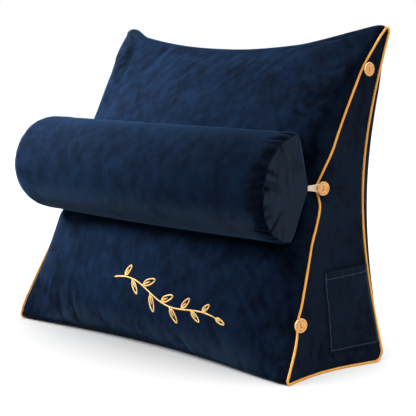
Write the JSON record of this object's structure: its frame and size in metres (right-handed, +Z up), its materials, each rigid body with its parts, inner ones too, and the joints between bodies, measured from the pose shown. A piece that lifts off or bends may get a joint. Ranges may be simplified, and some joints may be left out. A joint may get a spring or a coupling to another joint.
{
  "type": "wedge reading pillow",
  "caption": "Triangular velvet back cushion with contrast piping, side buttons, a side pocket and a removable neck bolster held across its front by loops.",
  "frame": {"origin": "middle of the base, on the surface the cushion stands on", "axes": "+Z up, +X to the right across the cushion as seen from its front, -Y towards the front, where the bolster is"},
  "size_m": [0.6298, 0.2981, 0.495],
  "materials": {
    "navy_velvet": "brushed short-pile velvet",
    "amber_piping": "satin-covered piping cord",
    "turned_wood": "smooth turned wood, satin varnish",
    "cream_cord": "matt elastic cord"
  },
  "bodies": {
    "root": {"wedge_cushion": "navy_velvet", "bolster_roll": "navy_velvet", "pocket_right": "navy_velvet", "piping_right": "amber_piping", "piping_left": "amber_piping", "button_right_top": "turned_wood", "button_right_mid": "turned_wood", "button_right_low": "turned_wood", "button_left_top": "turned_wood", "button_left_mid": "turned_wood", "button_left_low": "turned_wood", "loop_right": "cream_cord", "loop_left": "cream_cord"}
  },
  "joints": []
}
